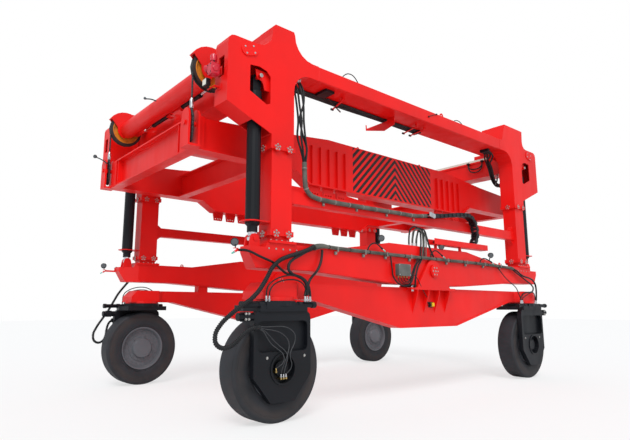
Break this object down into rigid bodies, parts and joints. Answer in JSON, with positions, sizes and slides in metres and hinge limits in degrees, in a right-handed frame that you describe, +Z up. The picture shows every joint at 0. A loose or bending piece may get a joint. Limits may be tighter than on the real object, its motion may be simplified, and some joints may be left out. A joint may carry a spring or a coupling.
{
  "type": "straddle carrier",
  "caption": "Rolling portal with telescopic legs, steered wheels on walking beams and a rope-hung load frame that lifts long loads from above.",
  "frame": {"origin": "centre of the machine on the ground under the tyres", "axes": "+X along the machine towards the right end of the picture, +Y across it away from the camera, +Z up"},
  "size_m": [8.82, 5.048, 5.447],
  "materials": {
    "red_paint": "glossy machine paint",
    "black_paint": "satin",
    "tyre_rubber": "matt, dusty",
    "rim_grey": "satin",
    "sheave_yellow": "satin",
    "rail_cream": "smooth slide strip",
    "chrome_rod": "polished",
    "rope_steel": "greased wire rope"
  },
  "bodies": {
    "portal": {"knee_near_left": "red_paint", "knee_near_right": "red_paint", "knee_far_left": "red_paint", "knee_far_right": "red_paint", "wing_near_left": "red_paint", "wing_near_right": "red_paint", "wing_far_left": "red_paint", "wing_far_right": "red_paint", "cylinder_barrel_near_left": "black_paint", "cylinder_barrel_near_right": "black_paint", "cylinder_barrel_far_left": "black_paint", "cylinder_barrel_far_right": "black_paint", "side_beam_near": "red_paint", "side_beam_far": "red_paint", "end_beam_left": "red_paint", "end_beam_right": "red_paint", "shift_rails_left": "rail_cream", "shift_rails_right": "rail_cream"},
    "near_side": {"sill_near": "red_paint", "mast_near_left": "red_paint", "mast_near_right": "red_paint", "lift_rod_near_left": "chrome_rod", "lift_rod_near_right": "chrome_rod"},
    "far_side": {"sill_far": "red_paint", "walking_beam_far": "red_paint", "mast_far_left": "red_paint", "mast_far_right": "red_paint", "lift_rod_far_left": "chrome_rod", "lift_rod_far_right": "chrome_rod"},
    "near_middle": {"middle_frame_near": "red_paint"},
    "far_middle": {"middle_frame_far": "red_paint"},
    "near_walk": {"walking_beam_near": "red_paint"},
    "steer_near_left": {"knuckle_near_left": "black_paint"},
    "wheel_near_left": {"rim_near_left": "rim_grey", "tyre_near_left": "tyre_rubber"},
    "steer_near_right": {"knuckle_near_right": "black_paint"},
    "wheel_near_right": {"rim_near_right": "rim_grey", "tyre_near_right": "tyre_rubber"},
    "steer_far_left": {"knuckle_far_left": "black_paint"},
    "wheel_far_left": {"rim_far_left": "rim_grey", "tyre_far_left": "tyre_rubber"},
    "steer_far_right": {"knuckle_far_right": "black_paint"},
    "wheel_far_right": {"rim_far_right": "rim_grey", "tyre_far_right": "tyre_rubber"},
    "carriage_left": {"carriage_left": "red_paint"},
    "carriage_right": {"carriage_right": "red_paint"},
    "load_frame": {"frame_beam_near": "red_paint", "frame_beam_far": "red_paint", "frame_end_left": "red_paint", "frame_end_right": "red_paint", "frame_cross_left": "red_paint", "frame_cross_right": "red_paint", "hoist_rope_near_left": "rope_steel", "hoist_rope_near_right": "rope_steel", "hoist_rope_far_left": "rope_steel", "hoist_rope_far_right": "rope_steel"},
    "sheave_near_left": {"sheave_near_left": "sheave_yellow"},
    "sheave_near_right": {"sheave_near_right": "sheave_yellow"},
    "sheave_far_left": {"sheave_far_left": "sheave_yellow"},
    "sheave_far_right": {"sheave_far_right": "sheave_yellow"}
  },
  "joints": [
    {"name": "near_lift", "type": "slide", "parent": "portal", "child": "near_middle", "axis": [0, 0, -1], "range_m": [0, 0.8]},
    {"name": "near_extend", "type": "slide", "parent": "near_middle", "child": "near_side", "axis": [0, 0, -1], "range_m": [0, 0.8]},
    {"name": "far_lift", "type": "slide", "parent": "portal", "child": "far_middle", "axis": [0, 0, -1], "range_m": [0, 0.8]},
    {"name": "far_extend", "type": "slide", "parent": "far_middle", "child": "far_side", "axis": [0, 0, -1], "range_m": [0, 0.8]},
    {"name": "near_walk_pivot", "type": "hinge", "parent": "near_side", "child": "near_walk", "pos_m": [0, -2.194, 2.074], "axis": [0, 1, 0], "range_deg": [-2, 2]},
    {"name": "steer_near_left_turn", "type": "hinge", "parent": "near_walk", "child": "steer_near_left", "pos_m": [-3.3, -2.194, 1.485], "axis": [0, 0, 1], "range_deg": [-90, 90]},
    {"name": "wheel_near_left_spin", "type": "hinge", "parent": "steer_near_left", "child": "wheel_near_left", "pos_m": [-3.3, -2.194, 0.685], "axis": [0, 1, 0], "continuous": true},
    {"name": "steer_near_right_turn", "type": "hinge", "parent": "near_walk", "child": "steer_near_right", "pos_m": [3.3, -2.194, 1.485], "axis": [0, 0, 1], "range_deg": [-90, 90]},
    {"name": "wheel_near_right_spin", "type": "hinge", "parent": "steer_near_right", "child": "wheel_near_right", "pos_m": [3.3, -2.194, 0.685], "axis": [0, 1, 0], "continuous": true},
    {"name": "steer_far_left_turn", "type": "hinge", "parent": "far_side", "child": "steer_far_left", "pos_m": [-3.3, 2.194, 1.485], "axis": [0, 0, 1], "range_deg": [-90, 90]},
    {"name": "wheel_far_left_spin", "type": "hinge", "parent": "steer_far_left", "child": "wheel_far_left", "pos_m": [-3.3, 2.194, 0.685], "axis": [0, 1, 0], "continuous": true},
    {"name": "steer_far_right_turn", "type": "hinge", "parent": "far_side", "child": "steer_far_right", "pos_m": [3.3, 2.194, 1.485], "axis": [0, 0, 1], "range_deg": [-90, 90]},
    {"name": "wheel_far_right_spin", "type": "hinge", "parent": "steer_far_right", "child": "wheel_far_right", "pos_m": [3.3, 2.194, 0.685], "axis": [0, 1, 0], "continuous": true},
    {"name": "shift_left", "type": "slide", "parent": "portal", "child": "carriage_left", "axis": [0, 1, 0], "range_m": [-0.2, 0.2]},
    {"name": "shift_right", "type": "slide", "parent": "portal", "child": "carriage_right", "axis": [0, 1, 0], "range_m": [-0.2, 0.2]},
    {"name": "hoist", "type": "slide", "parent": "carriage_left", "child": "load_frame", "axis": [0, 0, -1], "range_m": [0, 1.5], "deforming": ["hoist_rope_near_left", "hoist_rope_near_right", "hoist_rope_far_left", "hoist_rope_far_right"]},
    {"name": "sheave_near_left_turn", "type": "hinge", "parent": "carriage_left", "child": "sheave_near_left", "pos_m": [-4.03, -1.64, 4.8], "axis": [0, 1, 0], "range_deg": [-318.5, 0]},
    {"name": "sheave_near_right_turn", "type": "hinge", "parent": "carriage_right", "child": "sheave_near_right", "pos_m": [4.03, -1.64, 4.8], "axis": [0, 1, 0], "range_deg": [0, 318.5]},
    {"name": "sheave_far_left_turn", "type": "hinge", "parent": "carriage_left", "child": "sheave_far_left", "pos_m": [-4.03, 1.64, 4.8], "axis": [0, 1, 0], "range_deg": [-318.5, 0]},
    {"name": "sheave_far_right_turn", "type": "hinge", "parent": "carriage_right", "child": "sheave_far_right", "pos_m": [4.03, 1.64, 4.8], "axis": [0, 1, 0], "range_deg": [0, 318.5]}
  ],
  "couplings": [
    {"joint": "near_extend", "follows": "near_lift", "ratio": 1},
    {"joint": "far_lift", "follows": "near_lift", "ratio": 1},
    {"joint": "far_extend", "follows": "near_lift", "ratio": 1},
    {"joint": "shift_right", "follows": "shift_left", "ratio": 1},
    {"joint": "sheave_near_left_turn", "follows": "hoist", "rad_per_m": -3.7037},
    {"joint": "sheave_near_right_turn", "follows": "hoist", "rad_per_m": 3.7037},
    {"joint": "sheave_far_left_turn", "follows": "hoist", "rad_per_m": -3.7037},
    {"joint": "sheave_far_right_turn", "follows": "hoist", "rad_per_m": 3.7037}
  ]
}
